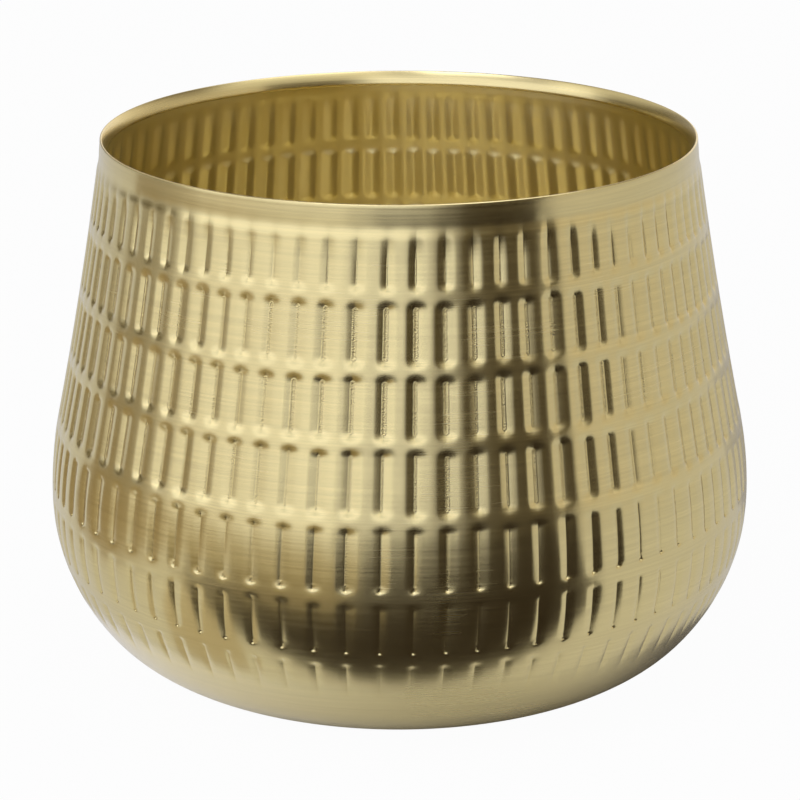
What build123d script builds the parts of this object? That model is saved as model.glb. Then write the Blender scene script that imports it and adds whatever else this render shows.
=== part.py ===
from build123d import *
from itertools import pairwise
from math import ceil, cos, radians, sin
import os

# Cachepot of pressed sheet brass: an open vase wall with a hemmed rim, a base plate and stick-on pads.
# Millimetres. The origin is on the ground, in the middle of the pot, with +Z up.

sheet_thickness = 0.8

# outline of the wall's outside face, in tangent arcs
rim_radius = 104.0          # at the top of the wall, where the hem begins
wall_height = 189.8         # from the underside of the foot ring to the top of the hem
rim_lean = 8.6              # degrees from upright, just under the hem
wall_lean = 12.1            # degrees from upright, where the wall meets the shoulder
shoulder_radius = 141.0     # the arc above the widest point
belly_radius = 68.5         # the arc below the widest point
belly_turn = 39.0           # degrees that the belly arc turns through
foot_radius = 45.0          # the arc that ends level, in the foot ring
foot_ring_width = 13.0

# hem: the rim folded inwards and down
hem_gap = 0.4               # between the wall and the folded leaf
hem_leaf = 4.7              # upright length of the leaf
crest_corner = 0.5          # size of the corners at the top of the fold

# dents: upright grooves pressed in columns and rows, measured down the outside face
dent_columns = 78
dent_rows = 7
row_clearance = 0.8         # from the end of the leaf to the first row
row_pitch = 24.0
dent_length = 18.6          # of the groove's bottom line
dent_depth = 1.0

# the facets that make up the wall
straight_enough = 0.12      # a row that bulges less than this has straight edges
bowl_step = 12.0            # longest facet below the last row

# base plate, lying on the foot ring inside
plate_clearance = 4.0       # from the plate's edge to where the wall turns up
dish_clearance = 3.0        # from the ring's inner edge to the pressed step
dish_step = 3.0             # level width of the pressed step
dish_rise = 1.6             # the middle stands this much higher than the border

# pads under the foot ring
pad_count = 4
pad_margin = 1.0            # from a pad's edge to the edges of the ring
pad_thickness = 1.2

wall_bottom = pad_thickness
wall_top = wall_bottom + wall_height
mouth_radius = rim_radius - hem_gap - 2 * sheet_thickness
first_row = crest_corner + hem_leaf + row_clearance
pad_radius = foot_ring_width / 2 - pad_margin
half_column = 180 / dent_columns


def outline():
    """The wall's outside face from the foot ring to the rim. x is the radius and y the height."""
    with BuildLine() as line:
        ring = Line((-foot_ring_width, 0), (0, 0))
        foot = JernArc(ring @ 1, ring % 1, foot_radius, 90 - belly_turn)
        belly = JernArc(foot @ 1, foot % 1, belly_radius, belly_turn)
        shoulder = JernArc(belly @ 1, belly % 1, shoulder_radius, wall_lean)
        rise = wall_height - crest_corner - (shoulder @ 1).Y
        wall_radius = rise / (sin(radians(wall_lean)) - sin(radians(rim_lean)))
        wall = JernArc(shoulder @ 1, shoulder % 1, wall_radius, rim_lean - wall_lean)
    foot_level_radius = rim_radius - (wall @ 1).X
    return Pos(foot_level_radius, wall_bottom) * line.wires()[0]


outside = outline()
foot_level = outside.length - foot_ring_width
ring_inner_radius = outside.position_at(0).X


def sheet_point(drop, depth):
    """A point of the sheet, this far down the outside face from the rim and this deep under it."""
    place = outside.length - drop
    up = outside.tangent_at(place, position_mode=PositionMode.LENGTH)
    return outside.position_at(place, position_mode=PositionMode.LENGTH) + Vector(-up.Y, up.X) * depth


def swing(point, side):
    """A point of the outline, turned to a column's left edge (-1), middle (0) or right edge (1)."""
    angle = radians(half_column * side)
    return Vector(point.X * cos(angle), point.X * sin(angle), point.Y)


def facet(*corners):
    return Face(Wire.make_polygon(corners, close=True))


def band(*points):
    """A column's plain facets, edge to edge through points of the outline."""
    return [facet(swing(a, -1), swing(b, -1), swing(b, 1), swing(a, 1)) for a, b in pairwise(points)]


def dent(row, depth):
    """A column's facets in one row, on the sheet's outside face or, with a depth, on its inside face."""
    ramp = (row_pitch - dent_length) / 2
    top = first_row + row * row_pitch
    drops = [0, ramp, row_pitch - ramp, row_pitch]
    edge = [sheet_point(top + drop, depth) for drop in drops]
    chord = [edge[0] + (edge[3] - edge[0]) * (drop / row_pitch) for drop in drops]
    straight = (edge[1] - chord[1]).length < straight_enough
    if straight:
        edge = chord
    share = 1 - dent_depth / edge[1].X
    upper, lower = (swing(Vector(point.X * share, point.Y), 0) for point in edge[1:3])
    facets = [
        facet(swing(edge[0], -1), swing(edge[0], 1), upper),
        facet(swing(edge[3], -1), swing(edge[3], 1), lower),
    ]
    for side in (-1, 1):
        a, b, c, d = (swing(point, side) for point in edge)
        if straight:
            facets.append(facet(a, d, lower, upper))
        else:
            facets += [facet(a, b, upper), facet(b, c, lower, upper), facet(c, d, lower)]
    return facets


def wall_column():
    """All the flat facets of one column of the wall, outside and inside."""
    last_row_end = first_row + dent_rows * row_pitch
    steps = ceil((foot_level - last_row_end) / bowl_step)
    bowl = [last_row_end + (foot_level - last_row_end) * i / steps for i in range(steps + 1)]
    facets = []
    for depth in (0, sheet_thickness):
        for row in range(dent_rows):
            facets += dent(row, depth)
        facets += band(*(sheet_point(drop, depth) for drop in bowl + [outside.length]))
    facets += band(sheet_point(outside.length, 0), sheet_point(outside.length, sheet_thickness))
    return facets + rim_column()


def rim_column():
    """The flat facets of the hem: over the rim outside, and in the slot behind the leaf."""
    leaf_back = mouth_radius + sheet_thickness
    leaf_end = wall_top - crest_corner - hem_leaf
    under_fold = wall_top - sheet_thickness
    outer = band(
        sheet_point(first_row, 0),
        sheet_point(0, 0),
        Vector(rim_radius - crest_corner, wall_top),
    )
    slot = band(
        Vector(leaf_back, leaf_end),
        Vector(leaf_back, under_fold),
        Vector(leaf_back + hem_gap, under_fold),
        sheet_point(first_row, sheet_thickness),
    )
    return outer + slot


def round_hem():
    """The round faces at the mouth, and the two level ones between them and the flat facets."""
    leaf_end = wall_top - crest_corner - hem_leaf
    mouth_line = Polyline(
        (mouth_radius + crest_corner, 0, wall_top),
        (mouth_radius, 0, wall_top - crest_corner),
        (mouth_radius, 0, leaf_end),
    )
    mouth = Shell.revolve(mouth_line.wire(), 360, Axis.Z)
    return mouth.faces() + [
        level_ring(rim_radius - crest_corner, mouth_radius + crest_corner, wall_top),
        level_ring(mouth_radius + sheet_thickness, mouth_radius, leaf_end),
    ]


def level_ring(corner_radius, hole_radius, height):
    """A level face with a corner at each column's edge outside and a round hole inside."""
    corners = [swing(Vector(corner_radius, height), 2 * i + 1) for i in range(dent_columns)]
    hole = Pos(0, 0, height) * Wire.make_circle(hole_radius)
    return Face(Wire.make_polygon(corners, close=True), [hole])


def pot_wall():
    """The wall in one piece of sheet: a column of facets repeated all round, closed by the hem."""
    column = wall_column()
    turns = [Rotation(0, 0, 2 * half_column * i) for i in range(dent_columns)]
    return Solid(Shell([turn * face for turn in turns for face in column] + round_hem()))


def base_plate():
    """A disc that laps the foot ring, with its middle pressed up."""
    underside = wall_bottom + sheet_thickness
    edge_radius = ring_inner_radius + foot_ring_width - plate_clearance
    dish_radius = ring_inner_radius - dish_clearance
    face_line = Polyline(
        (0, underside + dish_rise),
        (dish_radius - dish_step, underside + dish_rise),
        (dish_radius, underside),
        (edge_radius, underside),
    )
    strip = face_line.offset_2d(sheet_thickness, kind=Kind.INTERSECTION, side=Side.LEFT, closed=True)
    return revolve(Plane.XZ * make_face(strip.edges()), Axis.Z)


def foot_pads():
    """Round pads, spread evenly under the middle of the foot ring."""
    circle_radius = ring_inner_radius + foot_ring_width / 2
    pad = Cylinder(pad_radius, pad_thickness, align=(Align.CENTER, Align.CENTER, Align.MIN))
    return [place * pad for place in PolarLocations(circle_radius, pad_count, 180 / pad_count)]


nodes = {"pot_wall": pot_wall(), "base_plate": base_plate()}
for number, pad in enumerate(foot_pads(), start=1):
    nodes[f"foot_pad_{number}"] = pad

os.makedirs("parts", exist_ok=True)
for name, shape in nodes.items():
    export_step(shape, f"parts/{name}.step")
    print(f"{name}: {shape.volume:.0f} cubic mm")
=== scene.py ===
from math import ceil, cos, pi, radians, sin

import bpy
import numpy as np
from mathutils import Euler, Matrix, Vector


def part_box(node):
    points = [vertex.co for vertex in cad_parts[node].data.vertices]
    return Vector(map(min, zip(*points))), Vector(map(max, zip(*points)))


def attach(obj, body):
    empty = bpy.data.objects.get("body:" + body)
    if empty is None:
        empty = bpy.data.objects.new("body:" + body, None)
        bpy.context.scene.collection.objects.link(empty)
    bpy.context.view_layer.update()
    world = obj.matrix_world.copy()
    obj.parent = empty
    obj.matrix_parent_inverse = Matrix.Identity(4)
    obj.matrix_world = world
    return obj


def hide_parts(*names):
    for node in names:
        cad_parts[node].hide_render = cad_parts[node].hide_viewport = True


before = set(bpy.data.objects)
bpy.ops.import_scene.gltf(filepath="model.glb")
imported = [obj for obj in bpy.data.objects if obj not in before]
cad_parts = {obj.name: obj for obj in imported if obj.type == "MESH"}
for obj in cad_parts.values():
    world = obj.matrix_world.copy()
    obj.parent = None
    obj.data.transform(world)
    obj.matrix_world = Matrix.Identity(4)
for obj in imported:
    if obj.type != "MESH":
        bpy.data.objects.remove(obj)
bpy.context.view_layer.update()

# The pot's looks: the pressed wall with its hem, the base plate and the pads, in metres.

mm = 0.001

# the wall's outside face in tangent arcs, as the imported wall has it
sheet = 0.8 * mm
rim_radius = 104.0 * mm
rim_lean = radians(8.6)
wall_lean = radians(12.1)
shoulder_radius = 141.0 * mm
belly_radius = 68.5 * mm
belly_turn = radians(39.0)
foot_radius = 45.0 * mm
foot_ring_width = 13.0 * mm
crest_corner = 0.5 * mm
hem_leaf = 4.7 * mm
wall_low, wall_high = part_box("pot_wall")
wall_bottom, wall_top = wall_low.z, wall_high.z

# the fold at the rim
crest_radius = 0.38 * mm
leaf_lean = radians(32)     # of the folded leaf just under the crest, from upright
leaf_end_lean = radians(8)  # and at its lower end
leaf_back_top = 2.4 * mm    # the leaf's back ends this far below the rim
slot_top = 1.4 * mm         # the slot between leaf and wall ends this far below the rim
slot_edge = 0.3 * mm        # and this far from the wall's inside face
crest_points = 9            # of the fold's profile
leaf_points = 8
leaf_edge_points = 6

# the wall is pinched in a little under the hem: distance down from the rim and how far it moves outwards
hem_swell = [
    (0, 0.20 * mm), (2.0 * mm, 0.10 * mm), (4.0 * mm, -0.03 * mm), (5.5 * mm, -0.15 * mm),
    (6.8 * mm, -0.25 * mm), (8.0 * mm, -0.24 * mm), (9.2 * mm, -0.12 * mm), (10.4 * mm, 0),
]

# the dents, measured down the outside face from the rim
dent_columns = 78
row_lines = [6.0 * mm, 29.7 * mm, 53.5 * mm, 77.3 * mm, 102.2 * mm, 127.3 * mm, 149.6 * mm, 172.0 * mm]
dent_rows = len(row_lines) - 1
dent_depth = 0.9 * mm
top_ramp = 2.4 * mm         # length of the slope at a dent's upper end
end_ramp = 3.2 * mm         # and at its lower end
band_below = 0.9 * mm       # level sheet under a row line, above the dents
band_above = 1.2 * mm       # and above a row line, below the dents
steep_share = 0.30          # width of a groove's left and steeper side, as a share of a column
gentle_share = 0.35         # and of its right and gentler side
edge_rounding = 0.28        # how softly a groove's sides bend into the wall
flat_below = -3             # the bend ends this many half groove widths away
crease_outside = 0.012      # how sharp the bottom of a groove is, as a share of a column
crease_inside = 0.09
crease_notch = 0.1 * mm     # the tool's edge bites this much deeper along the bottom of a groove
notch_share = 0.03          # half the notch's width, as a share of a column
row_strength = [0.78, 1, 1, 0.94, 0.76, 0.58, 0.48]  # how much of the groove is pressed in each row
top_fade = 3.4              # the first row starts and the last row ends this many times more gently
foot_fade = 3.0
tip_pit = 0.6 * mm          # in two rows the tool's corner bites this much deeper at the groove's lower end
tip_above_line = 2.8 * mm   # how far that is above the row line
tip_reach = 0.6 * mm        # half the pit's height
tip_share = 0.06            # and half its width, as a share of a column
tip_rows = (4, 5)
depth_spread = 0.1          # the dents differ by this share of their depth either way,
end_spread = 0.4 * mm       # their ends by this much
side_spread = 0.02          # and their places by this share of a column
column_start = -2.4         # degrees from the front
column_waves = [(3, 1.98, 22), (5, 0.84, -133), (7, 0.54, 32)]  # times round, degrees, phase
column_slant = radians(-8.0)  # per metre down the face

# where the wall's mesh has its rings, and its azimuth lines as places across a column
rim_rings = np.array([0.8, 1.6, 2.5, 3.4, 4.3, 5.2]) * mm  # down from the rim
row_end_rings = np.array([0, 1.0, 1.6, 2.2, 2.8, 3.5, 4.4, 5.2]) * mm  # from both ends of a row
tip_rings = np.array([2.4, 2.6]) * mm  # up from the lower end of a row
row_middle = 8.0 * mm       # from both ends of a row to its middle, which has few rings
row_middle_rings = 3
bowl_rings = np.array([0, 1.5, 3, 5]) * mm  # down from the last row
bowl_step = 2.5 * mm        # longest step from there to the foot ring
foot_ring_steps = 5
foot_edge_steps = 4
column_steps = np.array([
    -0.43, -0.36, -0.31, -0.27, -0.22, -0.14, -0.07, -0.025, 0, 0.03, 0.1, 0.2, 0.28, 0.34, 0.39, 0.44, 0.5,
])

# the turned pieces
axis_radius = 0.01 * mm     # a turned profile begins and ends this close to the axis
plate_step_outer = 59.15 * mm  # radius where the plate's pressed step begins
plate_step_inner = 56.15 * mm  # and where it ends
plate_rounding = (0.9 * mm, 5)  # reach of the rounded corners along their sides, and steps in each
plate_sides = 192
pad_count = 4
pad_rounding = (0.35 * mm, 4)
pad_sides = 48


def arc_rise(radius, start, end):
    return radius * (cos(start) - cos(end))


def outline_parts():
    """Length and bend of each part of the outside face, from the foot ring's inner edge to the rim."""
    foot_end = pi / 2 - belly_turn
    below = (
        arc_rise(foot_radius, 0, foot_end)
        + arc_rise(belly_radius, foot_end, pi / 2)
        + arc_rise(shoulder_radius, pi / 2, pi / 2 + wall_lean)
    )
    rise = wall_top - wall_bottom - crest_corner - below
    wall_radius = rise / (sin(wall_lean) - sin(rim_lean))
    return [
        (foot_ring_width, 0),
        (foot_radius * foot_end, 1 / foot_radius),
        (belly_radius * belly_turn, 1 / belly_radius),
        (shoulder_radius * wall_lean, 1 / shoulder_radius),
        (wall_radius * (wall_lean - rim_lean), -1 / wall_radius),
    ]


outline = outline_parts()
outline_length = sum(length for length, bend in outline)


def trace(place):
    """Radius and height from the outline's start, and its direction there, at distances along it."""
    radius, height, angle = (np.zeros_like(place) for _ in range(3))
    begun = turned = 0.0
    for length, bend in outline:
        run = np.clip(place - begun, 0, length)
        end = turned + run * bend
        if bend:
            radius += (np.sin(end) - np.sin(turned)) / bend
            height += (np.cos(turned) - np.cos(end)) / bend
        else:
            radius += run
        angle += run * bend
        begun += length
        turned += length * bend
    return radius, height, angle


outline_start = rim_radius - trace(np.array([outline_length]))[0][0]


def face_points(drop, depth):
    """Radius, height and the outward direction of the sheet, this far down from the rim and this deep."""
    radius, height, angle = trace(outline_length - drop)
    radius += np.interp(drop, *zip(*hem_swell))
    out_r, out_z = np.sin(angle), -np.cos(angle)
    return (
        outline_start + radius - out_r * depth,
        wall_bottom + height - out_z * depth,
        out_r,
        out_z,
    )


# ---------------------------------------------------------------- camera

camera_place = (0, -0.9890, 0.4172)
camera_pitch = radians(18.2)
camera_roll = -0.0024
sensor_width = 36           # in millimetres
photo_width = 800
photo_lens = 2888           # focal length in pixels of the photograph
photo_centre = -0.55        # the optical axis, in pixels right of the photograph's middle


def make_camera():
    data = bpy.data.cameras.new("camera")
    data.sensor_width = sensor_width
    data.lens = photo_lens / photo_width * sensor_width
    data.shift_x = -photo_centre / photo_width
    camera = bpy.data.objects.new("camera", data)
    camera.location = camera_place
    turn = Euler((pi / 2 - camera_pitch, 0, 0)).to_matrix() @ Matrix.Rotation(camera_roll, 3, "Z")
    camera.rotation_euler = turn.to_euler()
    bpy.context.scene.collection.objects.link(camera)
    bpy.context.scene.camera = camera


make_camera()

# ---------------------------------------------------------------- wall

rng = np.random.default_rng(7)
depth_jitter = rng.uniform(-depth_spread, depth_spread, (dent_columns, dent_rows))
end_jitter = rng.uniform(-end_spread, end_spread, (dent_columns, dent_rows, 2))
side_jitter = rng.uniform(-side_spread, side_spread, (dent_columns, dent_rows))


def soft_ramp(value, rounding):
    """value where it is well above nought and nought where it is well below, with a smooth bend between."""
    return np.where(value < flat_below, 0, (value + np.hypot(value, rounding)) / 2)


def column_azimuth(count):
    """Azimuth of a place counted in columns, in radians from the front towards the right."""
    even = 360 / dent_columns * count
    waves = sum(size * np.sin(np.radians(even * times + phase)) for times, size, phase in column_waves)
    return np.radians(column_start + even + waves)


def wall_columns():
    """For each azimuth line of the wall: its column, and its place from -0.5 to 0.5 across it."""
    column = np.repeat(np.arange(dent_columns), len(column_steps))
    across = np.tile(column_steps, dent_columns)
    return column, across


def groove_ends(row, drop, column):
    """0 along a groove, rising to 1 at its ends and on beyond them."""
    top = row_lines[row] + band_below + end_jitter[column, row, 0]
    end = row_lines[row + 1] - band_above + end_jitter[column, row, 1]
    lead = 1 - (drop - top) / (top_ramp * (top_fade if row == 0 else 1))
    tail = 1 - (end - drop) / (end_ramp * (foot_fade if row == dent_rows - 1 else 1))
    return np.maximum(np.maximum(lead, tail), 0)


def tool_marks(row, drop, across, place, ends):
    """What the tool leaves outside: a notch along a groove and, in some rows, a pit at its lower end."""
    notch = np.clip(1 - np.abs(place) / notch_share, 0, 1) * np.clip(1 - ends, 0, 1)
    marks = crease_notch * notch
    if row in tip_rows:
        off_tip = (drop - (row_lines[row + 1] - tip_above_line)) / tip_reach
        marks = marks + tip_pit * np.clip(1 - np.hypot(off_tip, across / tip_share), 0, 1)
    return marks


def dent_shape(drops, column, across, outside):
    """How deep the sheet is pressed, for distances from the rim (rows) and azimuth lines (columns)."""
    crease = crease_outside if outside else crease_inside
    drop = drops[:, None]
    pressed = np.zeros((len(drops), len(column)))
    for row in range(dent_rows):
        place = across + side_jitter[column, row]
        share = np.where(place < 0, steep_share, gentle_share)
        side = (np.hypot(place, crease) - crease) / share
        ends = groove_ends(row, drop, column)
        shape = soft_ramp(row_strength[row] - np.hypot(side, ends), edge_rounding)
        pressed += dent_depth * shape * (1 + depth_jitter[column, row])
        if outside:
            pressed += tool_marks(row, drop, across, place, ends)
    return pressed


def face_drops():
    """Distances down the face at which the wall's mesh has its rings."""
    drops = list(rim_rings)
    for top, end in zip(row_lines, row_lines[1:]):
        drops += list(top + row_end_rings)
        drops += list(np.linspace(top + row_middle, end - row_middle, row_middle_rings))
        drops += list(end - row_end_rings[1:])
        drops += list(end - tip_rings)
    drops += list(row_lines[-1] + bowl_rings)
    below = drops[-1]
    foot_level = outline_length - foot_ring_width
    steps = ceil((foot_level - below) / bowl_step)
    drops += list(np.linspace(below, foot_level, steps + 1)[1:])
    drops += list(np.linspace(foot_level, outline_length - sheet / 2, foot_ring_steps + 1)[1:])
    return np.array(sorted(drops))


def hem_profile():
    """Radius and height of the fold, from the outside face over the rim and down to the inside face."""
    centre_r = rim_radius + hem_swell[0][1] - crest_radius * cos(rim_lean)
    centre_z = wall_top - crest_radius
    points = [
        (centre_r + crest_radius * cos(a), centre_z + crest_radius * sin(a))
        for a in np.linspace(rim_lean, pi - leaf_lean, crest_points)
    ]
    # the folded leaf bulges towards the middle of the pot
    leaf_top_r, leaf_top_z = points[-1]
    edge_z = wall_top - crest_corner - hem_leaf + sheet / 2
    bulge = (leaf_top_z - edge_z) / (sin(leaf_lean) - sin(leaf_end_lean))
    middle_r, middle_z = leaf_top_r + bulge * cos(leaf_lean), leaf_top_z - bulge * sin(leaf_lean)
    leans = np.linspace(leaf_lean, leaf_end_lean, leaf_points + 1)[1:]
    points += [(middle_r - bulge * cos(a), middle_z + bulge * sin(a)) for a in leans]
    edge_r = points[-1][0]
    for a in np.linspace(pi, 2 * pi, leaf_edge_points + 1)[1:]:
        points.append((edge_r + sheet / 2 * (1 + cos(a)), edge_z + sheet / 2 * sin(a)))
    points.append((edge_r + sheet, wall_top - leaf_back_top))
    points.append((rim_radius - sheet - slot_edge, wall_top - slot_top))
    return points


on_outside, on_inside, in_shaded_slot = 0.0, 1.0, 2.0  # which finish a place of the wall has, or the painted shade of the slot under the fold
hem_shade_from = crest_points + leaf_points + 1  # the fold's points from here on are in the slot and get painted shade


class Rings:
    """The wall's rings of points, with how deep each point is pressed and which finish it has or whether it
    is painted as shade.
    """

    def __init__(self):
        self.points, self.depths, self.sides = [], [], []

    def add(self, azimuth, radius, height, side, depth=0):
        x, y = radius * np.sin(azimuth), -radius * np.cos(azimuth)
        self.points.append(np.stack([x, y, height + 0 * azimuth], -1))
        self.depths.append(depth / dent_depth + 0 * azimuth)
        self.sides.append(side + 0 * azimuth)

    def add_face(self, drops, slanted, pressed, side):
        """A face of the sheet from its foot to the rim, or inside from the rim to its foot."""
        outside = side == on_outside
        radius, height, out_r, out_z = face_points(drops, 0 if outside else sheet)
        order = range(len(drops))
        for i in reversed(order) if outside else order:
            ring_radius = radius[i] - out_r[i] * pressed[i]
            ring_height = height[i] - out_z[i] * pressed[i]
            self.add(slanted[i], ring_radius, ring_height, side, pressed[i] if outside else 0)

    def add_hem(self, azimuth):
        for number, (radius, height) in enumerate(hem_profile()):
            # the fold's edge, its back and the slot get painted shade
            side = on_outside if number < hem_shade_from else in_shaded_slot
            self.add(azimuth, np.full_like(azimuth, radius), height, side)

    def add_foot_edge(self, azimuth):
        """The rounded inner edge of the foot ring, from inside to outside."""
        edge_radius, edge_height, _, _ = face_points(np.array([outline_length]), sheet / 2)
        for angle in np.linspace(pi / 2, 3 * pi / 2, foot_edge_steps + 1)[1:-1]:
            radius = edge_radius[0] + sheet / 2 * (1 + cos(angle))
            height = edge_height[0] + sheet / 2 * sin(angle)
            self.add(azimuth, np.full_like(azimuth, radius), height, on_inside)


def wall_rings():
    """The wall from the foot ring's edge up outside, over the fold, and down inside."""
    drops = face_drops()
    column, across = wall_columns()
    azimuth = column_azimuth(column + across)
    slanted = azimuth[None, :] + column_slant * drops[:, None]
    rings = Rings()
    rings.add_face(drops, slanted, dent_shape(drops, column, across, True), on_outside)
    rings.add_hem(azimuth)
    rings.add_face(drops, slanted, dent_shape(drops, column, across, False), on_inside)
    rings.add_foot_edge(slanted[-1])
    return rings


def link(piece):
    bpy.context.scene.collection.objects.link(piece)
    return piece


def ring_quads(count, around, closed):
    """Ring and place of each quad's first corner, and the numbers of its corners."""
    ring, place = np.meshgrid(np.arange(count if closed else count - 1), np.arange(around), indexing="ij")
    next_ring, next_place = (ring + 1) % count, (place + 1) % around
    quads = np.stack([
        ring * around + place,
        ring * around + next_place,
        next_ring * around + next_place,
        next_ring * around + place,
    ], -1).reshape(-1, 4)
    return ring, place, quads


def ring_mesh(name, rings, closed):
    """A mesh from rings of points: quads between neighbouring rings, with a map unrolled round the pot."""
    count, around, _ = rings.shape
    ring, place, quads = ring_quads(count, around, closed)
    # an open row of rings begins and ends at the axis, where a tiny face closes it
    first, last = np.arange(around), np.arange(around) + (count - 1) * around
    caps = [] if closed else [first[::-1].tolist(), last.tolist()]
    mesh = bpy.data.meshes.new(name)
    mesh.from_pydata(rings.reshape(-1, 3).tolist(), [], quads.tolist() + caps)

    profile = rings[:, 0]
    after_last = profile[:1] if closed else profile[-1:]
    steps = np.linalg.norm(np.diff(profile, axis=0, append=after_last), axis=-1)
    along = np.concatenate([[0], np.cumsum(steps)])
    u0, u1 = place / around, (place + 1) / around
    v0, v1 = along[ring] / along[-1], along[ring + 1] / along[-1]
    unrolled = np.stack([u0, v0, u1, v0, u1, v1, u0, v1], -1).reshape(-1, 2)
    if caps:
        u = first / around
        unrolled = np.concatenate([unrolled, np.stack([u[::-1], 0 * u], -1), np.stack([u, 0 * u + 1], -1)])
    layer = mesh.uv_layers.new(name="OFBake")
    layer.data.foreach_set("uv", unrolled.reshape(-1))

    mesh.polygons.foreach_set("use_smooth", np.ones(len(mesh.polygons), bool))
    point_values(mesh, "along", np.repeat(along[:count], around))
    mesh.update()
    return link(bpy.data.objects.new(name, mesh))


def point_values(mesh, name, values):
    """A number for each point of the mesh, which its material reads by this name."""
    mesh.attributes.new(name, "FLOAT", "POINT").data.foreach_set("value", values)


def make_wall():
    rings = wall_rings()
    wall = ring_mesh("pressed_wall", np.array(rings.points), closed=True)
    point_values(wall.data, "groove", np.concatenate(rings.depths))
    point_values(wall.data, "side", np.concatenate(rings.sides))
    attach(wall, "root")
    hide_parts("pot_wall")
    return wall


# ---------------------------------------------------------------- plate and pads


def lathe(name, profile, around, middle=(0, 0)):
    """A turned piece from a profile of (radius, height) that begins and ends at the axis."""
    angles = np.arange(around) * 2 * pi / around
    rings = np.array([
        np.stack([middle[0] + r * np.sin(angles), middle[1] - r * np.cos(angles), z + 0 * angles], -1)
        for r, z in profile
    ])
    return ring_mesh(name, rings, closed=False)


def rounded(corners, radius, steps):
    """The corners joined by straight lines, with an arc of a quadratic curve at each inner one."""
    corners = [Vector(c) for c in corners]
    points = [corners[0]]
    for before, corner, after in zip(corners, corners[1:], corners[2:]):
        # an arc takes up a little less than half of each side at most
        reach = min(radius, (before - corner).length / 2.1, (after - corner).length / 2.1)
        start = corner + (before - corner).normalized() * reach
        end = corner + (after - corner).normalized() * reach
        for i in range(steps + 1):
            t = i / steps
            points.append(start * (1 - t) ** 2 + corner * 2 * t * (1 - t) + end * t ** 2)
    return points + [corners[-1]]


def make_plate():
    low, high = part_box("base_plate")
    rise = high.z - low.z - sheet
    under = [
        (axis_radius, low.z + rise),
        (plate_step_inner, low.z + rise),
        (plate_step_outer, low.z),
        (high.x, low.z),
    ]
    top = [
        (high.x, high.z - rise),
        (plate_step_outer, high.z - rise),
        (plate_step_inner, high.z),
        (axis_radius, high.z),
    ]
    plate = lathe("dished_plate", rounded(under + top, *plate_rounding), plate_sides)
    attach(plate, "root")
    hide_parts("base_plate")
    return plate


def make_pad(number):
    low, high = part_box(f"foot_pad_{number}")
    middle, radius = (low + high) / 2, (high.x - low.x) / 2
    corners = [(axis_radius, low.z), (radius, low.z), (radius, high.z), (axis_radius, high.z)]
    profile = rounded(corners, *pad_rounding)
    pad = lathe(f"pad_{number}", profile, pad_sides, (middle.x, middle.y))
    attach(pad, "root")
    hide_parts(f"foot_pad_{number}")
    return pad


# ---------------------------------------------------------------- materials


class Nodes:
    """Short names for adding nodes to a material or a world, which starts without any."""

    def __init__(self, owner):
        owner.use_nodes = True
        self.owner = owner
        self.tree = owner.node_tree
        self.tree.nodes.clear()

    def set_input(self, node, key, value):
        if isinstance(value, bpy.types.NodeSocket):
            self.tree.links.new(value, node.inputs[key])
        else:
            node.inputs[key].default_value = value

    def add(self, kind, inputs=None, **settings):
        node = self.tree.nodes.new(kind)
        for key, value in settings.items():
            setattr(node, key, value)
        for key, value in (inputs or {}).items():
            self.set_input(node, key, value)
        return node

    def attribute(self, name):
        return self.add("ShaderNodeAttribute", attribute_name=name).outputs["Fac"]

    def maths(self, operation, *values, clamp=False):
        node = self.add("ShaderNodeMath", dict(enumerate(values)), operation=operation, use_clamp=clamp)
        return node.outputs[0]

    def vector_maths(self, operation, inputs):
        return self.add("ShaderNodeVectorMath", inputs, operation=operation).outputs[0]

    def mix_colour(self, share, first, second):
        node = self.add("ShaderNodeMix", {0: share}, data_type="RGBA")
        for number, colour in ((6, first), (7, second)):
            is_socket = isinstance(colour, bpy.types.NodeSocket)
            self.set_input(node, number, colour if is_socket else (*colour, 1))
        return node.outputs[2]

    def noise(self, vector, scale, detail=2.0, roughness=0.5):
        node = self.add("ShaderNodeTexNoise", {
            "Vector": vector, "Scale": scale, "Detail": detail, "Roughness": roughness,
        })
        return node.outputs["Fac"]

    def soft_step(self, value, edge, blur):
        """1 well below the edge and 0 well above it."""
        node = self.add("ShaderNodeMapRange", {
            "Value": value, "From Min": edge - blur, "From Max": edge + blur, "To Min": 1.0, "To Max": 0.0,
        }, interpolation_type="SMOOTHSTEP")
        return node.outputs["Result"]

    def spread(self, value, low, high, out_low, out_high):
        """value taken from the range low to high to the range out_low to out_high, and held there."""
        node = self.add("ShaderNodeMapRange", {
            "Value": value, "From Min": low, "From Max": high, "To Min": out_low, "To Max": out_high,
        })
        return node.outputs["Result"]

    def azimuth(self, x, y):
        """Degrees from the front towards the right."""
        return self.maths("DEGREES", self.maths("ARCTAN2", x, self.maths("MULTIPLY", y, -1.0)))

    def off_azimuth(self, azimuth, middle):
        """Degrees between an azimuth and a middle one, whichever way round is shorter."""
        turn = self.maths("SUBTRACT", azimuth, middle)
        return self.maths("ABSOLUTE", self.maths("WRAP", turn, 180.0, -180.0))


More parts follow.
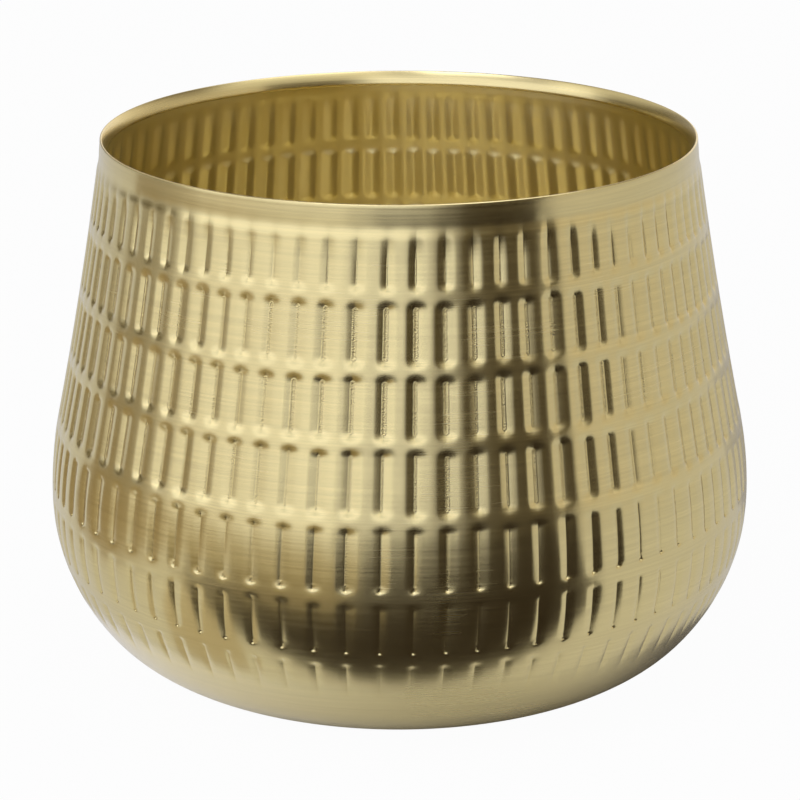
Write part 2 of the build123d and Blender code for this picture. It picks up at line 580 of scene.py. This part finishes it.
wall_colour = (0.85, 0.71, 0.34)
plate_colour = (0.79, 0.65, 0.31)
inside_colour = (0.88, 0.76, 0.38)  # the inside is less polished
inside_rougher = 0.10
# painted shade in the slot under the fold
slot_shade_colour = (0.2, 0.13, 0.04)
wall_roughness = 0.238
plate_roughness = 0.3
brush_anisotropy = 0.70
brush_turn = 0.25           # a quarter of a turn, so that highlights stretch upright, across the brushing
brush_dark = 0.88           # brushed lines go down to this share of the colour
brush_fine = (17, 1600)     # noise scale of the brushed lines, round the pot and across them
brush_broad = (9, 420)
brush_detail = (2.0, 0.6)   # the noise's detail and its roughness
fine_share = 0.7            # the rest of the lines' tone comes from the broad ones
brush_rough = 0.022         # the lines make the metal this much smoother or rougher
noise_range = (0.3, 0.7)    # where nearly all of a noise's values lie
tone_range = (0.35, 0.65)   # and those of two noises added
stain_scale = 26            # faint stains
stain_smoother, stain_rougher = -0.02, 0.03
sheet_scale = 60            # the sheet's slight unevenness
grain_scale = 2400          # fine pits, mostly at the bottom of the grooves
pits_on_sides = (0.1, 0.6, 0.05, 0.3)   # between these two depths, as shares of a dent's, the pits'
pits_at_bottom = (0.8, 0.95, 0, 5.0)    # height rises from the third number to the fourth
bump_height = 0.05 * mm     # what a height of 1 stands for in the bump of all materials
fine_height = 0.05          # height of the fine brushed lines
sheet_height = 3.0          # and of the sheet's unevenness
coat_weight, coat_roughness = 0.4, 0.22


def brushed_lines(n, where, along, scales):
    """Noise stretched into lines that run round the pot's axis."""
    round_scale, across_scale = scales
    x, y, _ = n.add("ShaderNodeSeparateXYZ", {"Vector": where}).outputs
    stretched = n.add("ShaderNodeCombineXYZ", {
        "X": n.maths("MULTIPLY", x, round_scale),
        "Y": n.maths("MULTIPLY", y, round_scale),
        "Z": n.maths("MULTIPLY", along, across_scale),
    }).outputs[0]
    return n.noise(stretched, 1.0, *brush_detail)


def metal_colour(n, colour, fine, broad, inside, slot_shade_amount):
    fine_tone = n.maths("MULTIPLY", fine, fine_share)
    broad_tone = n.maths("MULTIPLY", broad, 1 - fine_share)
    tone = n.spread(n.maths("ADD", fine_tone, broad_tone), *tone_range, 0, 1)
    brushed = n.mix_colour(tone, [c * brush_dark for c in colour], colour)
    paler = n.mix_colour(inside, brushed, inside_colour)
    # the slot under the fold is painted dark: painted shade
    return n.mix_colour(slot_shade_amount, paler, slot_shade_colour)


def metal_roughness(n, roughness, where, fine, inside):
    lines = n.spread(fine, *noise_range, roughness - brush_rough, roughness + brush_rough)
    stains = n.spread(n.noise(where, stain_scale, 3.0), *noise_range, stain_smoother, stain_rougher)
    return n.maths("ADD", n.maths("ADD", lines, stains), n.maths("MULTIPLY", inside, inside_rougher))


def metal_bump(n, where, fine):
    """Brushed lines, a slightly uneven sheet, and pits that get coarse at the bottom of the grooves."""
    groove = n.attribute("groove")
    share = n.maths("ADD", n.spread(groove, *pits_on_sides), n.spread(groove, *pits_at_bottom))
    pits = n.maths("MULTIPLY", share, n.noise(where, grain_scale))
    height = n.maths("ADD", n.maths("MULTIPLY", fine, fine_height), pits)
    uneven = n.noise(where, sheet_scale, 1.0)
    height = n.maths("ADD", height, n.maths("MULTIPLY", uneven, sheet_height))
    return n.add("ShaderNodeBump", {"Height": height, "Strength": 1.0, "Distance": bump_height}).outputs[0]


def brushed_metal(name, colour, roughness):
    """Metal brushed round the pot's axis: fine lines, highlights stretched across them and faint stains."""
    n = Nodes(bpy.data.materials.new(name))
    where = n.add("ShaderNodeTexCoord").outputs["Object"]
    along = n.attribute("along")
    side = n.attribute("side")
    inside = n.maths("MULTIPLY", side, 1.0, clamp=True)
    # where the slot under the fold is painted dark as shade
    slot_shade_amount = n.maths("SUBTRACT", side, 1.0, clamp=True)
    fine = brushed_lines(n, where, along, brush_fine)
    broad = brushed_lines(n, where, along, brush_broad)
    shader = n.add("ShaderNodeBsdfPrincipled", {
        "Base Color": metal_colour(n, colour, fine, broad, inside, slot_shade_amount),
        "Metallic": 1.0,
        "Roughness": metal_roughness(n, roughness, where, fine, inside),
        "Anisotropic": brush_anisotropy,
        "Anisotropic Rotation": brush_turn,
        "Coat Weight": coat_weight,
        "Coat Roughness": coat_roughness,
        "Normal": metal_bump(n, where, fine),
        "Tangent": n.add("ShaderNodeTangent", direction_type="RADIAL", axis="Z").outputs[0],
    })
    n.add("ShaderNodeOutputMaterial", {"Surface": shader.outputs[0]})
    return n.owner


rubber_dark, rubber_light = (0.03, 0.03, 0.03), (0.06, 0.058, 0.055)
rubber_grain_scale = 3000
rubber_cloud_scale = 300
rubber_bump = 0.4
rubber_roughness = (0.75, 0.95)


def pad_rubber():
    """Matt rubber, cloudy and finely grained."""
    n = Nodes(bpy.data.materials.new("pad_rubber_finish"))
    where = n.add("ShaderNodeTexCoord").outputs["Object"]
    grain = n.noise(where, rubber_grain_scale, 3.0)
    cloud = n.noise(where, rubber_cloud_scale)
    bump = n.add("ShaderNodeBump", {"Height": grain, "Strength": rubber_bump, "Distance": bump_height})
    shader = n.add("ShaderNodeBsdfPrincipled", {
        "Base Color": n.mix_colour(cloud, rubber_dark, rubber_light),
        "Roughness": n.spread(grain, *noise_range, *rubber_roughness),
        "Normal": bump.outputs[0],
    })
    n.add("ShaderNodeOutputMaterial", {"Surface": shader.outputs[0]})
    return n.owner


wall = make_wall()
wall.data.materials.append(brushed_metal("brass_wall_finish", wall_colour, wall_roughness))
plate = make_plate()
plate.data.materials.append(brushed_metal("brass_plate_finish", plate_colour, plate_roughness))
rubber = pad_rubber()
for pad_number in range(1, pad_count + 1):
    make_pad(pad_number).data.materials.append(rubber)

# ---------------------------------------------------------------- studio

white = (1, 1, 1, 1)
floor_half = 8.0
floor_colour = (0.33, 0.33, 0.34)
floor_glow = 0.97           # share of white in what the camera sees of the floor
floor_glow_mirrored = 0.4   # and in what the metal mirrors of it


def flat_piece(name, corners):
    mesh = bpy.data.meshes.new(name)
    mesh.from_pydata(corners, [], [range(len(corners))])
    return link(bpy.data.objects.new(name, mesh))


def make_floor():
    half = floor_half
    floor = flat_piece("floor", [(-half, -half, 0), (half, -half, 0), (half, half, 0), (-half, half, 0)])
    n = Nodes(bpy.data.materials.new("floor_finish"))
    path = n.add("ShaderNodeLightPath")
    mirrored = n.maths("MAXIMUM", path.outputs["Is Glossy Ray"], path.outputs["Is Transmission Ray"])
    glow_share = n.maths(
        "MAXIMUM",
        n.maths("MULTIPLY", mirrored, floor_glow_mirrored),
        n.maths("MULTIPLY", path.outputs["Is Camera Ray"], floor_glow),
    )
    paint = n.add("ShaderNodeBsdfDiffuse", {"Color": (*floor_colour, 1)})
    glow = n.add("ShaderNodeEmission", {"Color": white, "Strength": 1.0})
    mix = n.add("ShaderNodeMixShader", {0: glow_share, 1: paint.outputs[0], 2: glow.outputs[0]})
    n.add("ShaderNodeOutputMaterial", {"Surface": mix.outputs[0]})
    floor.data.materials.append(n.owner)


# What the pot mirrors: a softbox at the front left, panels above, pale walls at the sides and behind,
# and a dim warm room between them. Each panel has the azimuth of its middle (degrees from the front
# towards the right), its half width, its lowest and highest elevation, the softness of its sides,
# the softness of its top and bottom, its radiance and its tint.
panels = {
    "softbox": (-36, 50, -6, 30, 13, 9, 1.16, (1, 1.05, 1.22)),
    "softbox_middle": (-36, 26, 42, 72, 10, 8, 2.0, (1, 1.05, 1.22)),
    "haze": (-42, 52, 34, 90, 14, 14, 0.36, (1, 1.02, 1.15)),
    "right_front_high": (45, 42, 24, 60, 12, 8, 0.7, (1, 1.0, 1.0)),
    "left_high": (-112, 38, 14, 50, 12, 8, 0.55, (1, 1.0, 1.0)),
    "right_wall": (123, 66, -30, 22, 1.5, 10, 0.57, (1, 0.94, 0.86)),
    "right_back": (165, 36, -30, 30, 16, 10, 0.18, (1, 0.96, 0.9)),
    "right_high": (135, 70, 22, 50, 8, 10, 0.10, (1, 0.94, 0.9)),
    "right_top": (95, 75, 50, 88, 25, 8, 1.3, (1, 1.04, 1.2)),
    "back": (180, 40, -30, 90, 10, 10, 0.16, (1, 1.0, 1.1)),
    "ceiling": (40, 100, 68, 100, 40, 8, 1.2, (1, 1.08, 1.4)),
}
room_light = 0.08
room_colour = (1, 0.76, 0.4)


def panel_light(n, azimuth, elevation, panel):
    middle, half, low, high, side_blur, end_blur, bright, colour = panel
    lift = n.maths("ABSOLUTE", n.maths("SUBTRACT", elevation, (low + high) / 2))
    side = n.soft_step(n.off_azimuth(azimuth, middle), half, side_blur)
    end = n.soft_step(lift, (high - low) / 2, end_blur)
    share = n.maths("MULTIPLY", n.maths("MULTIPLY", side, end), bright)
    return n.vector_maths("SCALE", {0: colour, "Scale": share})


def make_world():
    """The room and its panels, which the camera itself sees as plain white."""
    n = Nodes(bpy.data.worlds.new("studio"))
    direction = n.add("ShaderNodeTexCoord").outputs["Generated"]
    x, y, z = n.add("ShaderNodeSeparateXYZ", {"Vector": direction}).outputs
    azimuth = n.azimuth(x, y)
    elevation = n.maths("DEGREES", n.maths("ARCSINE", z))
    radiance = n.vector_maths("SCALE", {0: room_colour, "Scale": room_light})
    for panel in panels.values():
        radiance = n.vector_maths("ADD", {0: radiance, 1: panel_light(n, azimuth, elevation, panel)})
    seen = n.mix_colour(n.add("ShaderNodeLightPath").outputs["Is Camera Ray"], radiance, white[:3])
    light = n.add("ShaderNodeBackground", {"Color": seen})
    n.add("ShaderNodeOutputWorld", {"Surface": light.outputs[0]})
    bpy.context.scene.world = n.owner


def make_card(name, corners, colour):
    """A card near the pot, seen only in the metal. Its colour may be a function that adds nodes for it."""
    card = flat_piece(name, corners)
    n = Nodes(bpy.data.materials.new(name + "_finish"))
    paint = n.add("ShaderNodeBsdfDiffuse", {"Color": colour(n) if callable(colour) else (*colour, 1)})
    n.add("ShaderNodeOutputMaterial", {"Surface": paint.outputs[0]})
    card.data.materials.append(n.owner)
    card.visible_camera = False
    card.visible_shadow = False
    card.visible_diffuse = False


def on_floor(height, *corners):
    return [(x, y, height) for x, y in corners]


# the round card under the pot: its radius, and its paler left part, a painted pool of light, and its darker
# right part, a painted shadow of the pot, as azimuth of the middle, half width and softness, in degrees
ring_card_radius = 0.128
ring_card_sides = 60
ring_card_lit_part = (-82, 58, 42)
ring_card_shadow_part = (88, 30, 16)
ring_card_colour = (0.47, 0.47, 0.46)
ring_card_painted_light = (0.78, 0.82, 0.98)
ring_card_painted_shadow = (0.22, 0.22, 0.23)


def ring_card_paint(n):
    where = n.add("ShaderNodeTexCoord").outputs["Object"]
    x, y, _ = n.add("ShaderNodeSeparateXYZ", {"Vector": where}).outputs
    azimuth = n.azimuth(x, y)
    colour = ring_card_colour
    # a painted pool of light on the left and a painted shadow of the pot on the right
    parts = ((ring_card_lit_part, ring_card_painted_light), (ring_card_shadow_part, ring_card_painted_shadow))
    for (middle, half, blur), part_colour in parts:
        share = n.soft_step(n.off_azimuth(azimuth, middle), half, blur)
        colour = n.mix_colour(share, colour, part_colour)
    return colour


# heights over the floor: where cards of two heights overlap, the metal mirrors the higher one
card_low, card_middle, card_high = 1.0 * mm, 1.5 * mm, 2 * mm

card_black = (0.02, 0.014, 0.008)
card_brown = (0.2, 0.155, 0.07)
card_tan = (0.27, 0.215, 0.13)
card_beige = (0.42, 0.38, 0.3)
card_grey = (0.44, 0.43, 0.41)


def make_cards():
    """Flat cards on the floor round the pot and one board, from the dark front to the pale back."""
    make_card("dark_card", on_floor(
        card_high,
        (-0.30, -0.150), (-0.12, -0.148), (-0.03, -0.132), (0.05, -0.132), (0.19, -0.155), (0.47, -0.37),
        (4.0, -3.2), (4.0, -7.5), (-1.2, -7.5), (-0.07, -0.26), (-0.2, -0.23),
    ), card_black)
    make_card("dark_board", [
        (-0.5, -1.5, 0), (1.6, -1.5, 0), (1.6, -1.5, 0.14), (-0.5, -1.5, 0.14),
    ], card_black)
    make_card("brown_card", on_floor(
        card_high,
        (-0.2, -0.235), (-0.07, -0.265), (-0.17, -0.8), (-1.0, -0.8), (-0.42, -0.2),
    ), card_brown)
    make_card("left_card", on_floor(
        card_high,
        (-0.33, -0.12), (-0.42, -0.2), (-1.0, -0.8), (-1.6, -0.8), (-1.6, 0.6), (-0.30, 0.12),
        (-0.24, -0.02),
    ), card_tan)
    make_card("middle_card", on_floor(
        card_middle,
        (-0.12, -0.148), (-0.066, -0.114), (-0.10, -0.085), (-0.17, -0.10), (-0.24, -0.15),
    ), card_beige)
    make_card("back_card", on_floor(
        card_middle,
        (0.13, 0.09), (0.3, 0.16), (0.6, 0.4), (0.3, 0.7), (0.05, 0.6), (0.03, 0.14), (0.09, 0.12),
    ), card_grey)
    angles = np.linspace(0, 2 * pi, ring_card_sides, endpoint=False)
    circle = [(ring_card_radius * sin(a), -ring_card_radius * cos(a)) for a in angles]
    # the round card carries a painted shadow of the pot and a painted pool of light, seen only in the metal
    make_card("ring_card", on_floor(card_low, *circle), ring_card_paint)


floor_light_place = (-0.75, -0.85, 0.75)
floor_light_size = 0.5
floor_light_energy = 9


def make_floor_light():
    """A softbox at the front left that no metal mirrors: it makes the floor's left side brighter."""
    data = bpy.data.lights.new("floor_light", "AREA")
    data.size = floor_light_size
    data.energy = floor_light_energy
    light = bpy.data.objects.new("floor_light", data)
    light.location = floor_light_place
    light.rotation_euler = Vector(floor_light_place).to_track_quat("Z", "Y").to_euler()
    light.visible_glossy = False
    light.visible_camera = False
    link(light)


make_floor()
make_world()
make_cards()
make_floor_light()

scene = bpy.context.scene
scene.view_settings.view_transform = "Standard"
